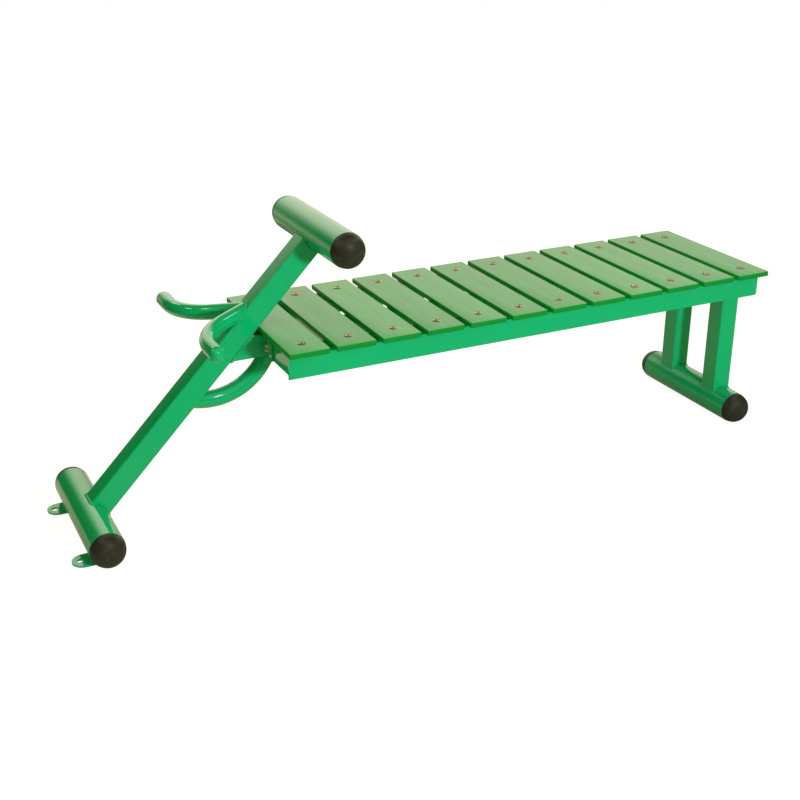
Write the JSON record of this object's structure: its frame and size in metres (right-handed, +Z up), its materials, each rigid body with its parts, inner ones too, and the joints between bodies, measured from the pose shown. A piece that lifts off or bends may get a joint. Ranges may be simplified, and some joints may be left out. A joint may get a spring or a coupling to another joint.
{
  "type": "outdoor fitness bench",
  "caption": "Free-standing outdoor sit-up bench: slatted seat on steel rails, sloping post with a leg bar, side handles, domed feet and anchor lugs.",
  "frame": {"origin": "centre of the footprint's bounding box, on the ground", "axes": "+X along the bench from the anchor lugs to the rear legs, +Y across it to the right-hand side, +Z up"},
  "size_m": [1.7202, 0.4036, 0.637],
  "materials": {
    "anchor_lug_left": "glossy green powder coat",
    "anchor_lug_right": "glossy green powder coat",
    "brace_tube": "glossy green powder coat",
    "flange_bolt_left": "bright zinc plate",
    "flange_bolt_right": "bright zinc plate",
    "front_crossmember": "glossy green powder coat",
    "front_foot_cap_left": "black moulded plastic, satin",
    "front_foot_cap_right": "black moulded plastic, satin",
    "front_foot_tube": "glossy green powder coat",
    "front_post": "glossy green powder coat",
    "handle_left": "glossy green powder coat",
    "handle_right": "glossy green powder coat",
    "leg_bar_cap_left": "black moulded plastic, satin",
    "leg_bar_cap_right": "black moulded plastic, satin",
    "leg_bar_tube": "glossy green powder coat",
    "link_tube": "glossy green powder coat",
    "rail_left": "glossy green powder coat",
    "rail_right": "glossy green powder coat",
    "rear_foot_cap_left": "black moulded plastic, satin",
    "rear_foot_cap_right": "black moulded plastic, satin",
    "rear_foot_tube": "glossy green powder coat",
    "rear_leg_left": "glossy green powder coat",
    "rear_leg_right": "glossy green powder coat",
    "slat_01": "green stain on a planed board",
    "slat_02": "green stain on a planed board",
    "slat_03": "green stain on a planed board",
    "slat_04": "green stain on a planed board",
    "slat_05": "green stain on a planed board",
    "slat_06": "green stain on a planed board",
    "slat_07": "green stain on a planed board",
    "slat_08": "green stain on a planed board",
    "slat_09": "green stain on a planed board",
    "slat_10": "green stain on a planed board",
    "slat_11": "green stain on a planed board",
    "slat_12": "green stain on a planed board",
    "slat_bolt_left_01": "yellow zinc plate",
    "slat_bolt_left_02": "yellow zinc plate",
    "slat_bolt_left_03": "yellow zinc plate",
    "slat_bolt_left_04": "yellow zinc plate",
    "slat_bolt_left_05": "yellow zinc plate",
    "slat_bolt_left_06": "yellow zinc plate",
    "slat_bolt_left_07": "yellow zinc plate",
    "slat_bolt_left_08": "yellow zinc plate",
    "slat_bolt_left_09": "yellow zinc plate",
    "slat_bolt_left_10": "yellow zinc plate",
    "slat_bolt_left_11": "yellow zinc plate",
    "slat_bolt_left_12": "yellow zinc plate",
    "slat_bolt_right_01": "yellow zinc plate",
    "slat_bolt_right_02": "yellow zinc plate",
    "slat_bolt_right_03": "yellow zinc plate",
    "slat_bolt_right_04": "yellow zinc plate",
    "slat_bolt_right_05": "yellow zinc plate",
    "slat_bolt_right_06": "yellow zinc plate",
    "slat_bolt_right_07": "yellow zinc plate",
    "slat_bolt_right_08": "yellow zinc plate",
    "slat_bolt_right_09": "yellow zinc plate",
    "slat_bolt_right_10": "yellow zinc plate",
    "slat_bolt_right_11": "yellow zinc plate",
    "slat_bolt_right_12": "yellow zinc plate",
    "under_frame": "glossy green powder coat"
  },
  "bodies": {
    "root": {"anchor_lug_left": "anchor_lug_left", "anchor_lug_right": "anchor_lug_right", "brace_tube": "brace_tube", "flange_bolt_left": "flange_bolt_left", "flange_bolt_right": "flange_bolt_right", "front_crossmember": "front_crossmember", "front_foot_cap_left": "front_foot_cap_left", "front_foot_cap_right": "front_foot_cap_right", "front_foot_tube": "front_foot_tube", "front_post": "front_post", "handle_left": "handle_left", "handle_right": "handle_right", "leg_bar_cap_left": "leg_bar_cap_left", "leg_bar_cap_right": "leg_bar_cap_right", "leg_bar_tube": "leg_bar_tube", "link_tube": "link_tube", "rail_left": "rail_left", "rail_right": "rail_right", "rear_foot_cap_left": "rear_foot_cap_left", "rear_foot_cap_right": "rear_foot_cap_right", "rear_foot_tube": "rear_foot_tube", "rear_leg_left": "rear_leg_left", "rear_leg_right": "rear_leg_right", "slat_01": "slat_01", "slat_02": "slat_02", "slat_03": "slat_03", "slat_04": "slat_04", "slat_05": "slat_05", "slat_06": "slat_06", "slat_07": "slat_07", "slat_08": "slat_08", "slat_09": "slat_09", "slat_10": "slat_10", "slat_11": "slat_11", "slat_12": "slat_12", "slat_bolt_left_01": "slat_bolt_left_01", "slat_bolt_left_02": "slat_bolt_left_02", "slat_bolt_left_03": "slat_bolt_left_03", "slat_bolt_left_04": "slat_bolt_left_04", "slat_bolt_left_05": "slat_bolt_left_05", "slat_bolt_left_06": "slat_bolt_left_06", "slat_bolt_left_07": "slat_bolt_left_07", "slat_bolt_left_08": "slat_bolt_left_08", "slat_bolt_left_09": "slat_bolt_left_09", "slat_bolt_left_10": "slat_bolt_left_10", "slat_bolt_left_11": "slat_bolt_left_11", "slat_bolt_left_12": "slat_bolt_left_12", "slat_bolt_right_01": "slat_bolt_right_01", "slat_bolt_right_02": "slat_bolt_right_02", "slat_bolt_right_03": "slat_bolt_right_03", "slat_bolt_right_04": "slat_bolt_right_04", "slat_bolt_right_05": "slat_bolt_right_05", "slat_bolt_right_06": "slat_bolt_right_06", "slat_bolt_right_07": "slat_bolt_right_07", "slat_bolt_right_08": "slat_bolt_right_08", "slat_bolt_right_09": "slat_bolt_right_09", "slat_bolt_right_10": "slat_bolt_right_10", "slat_bolt_right_11": "slat_bolt_right_11", "slat_bolt_right_12": "slat_bolt_right_12", "under_frame": "under_frame"}
  },
  "joints": []
}
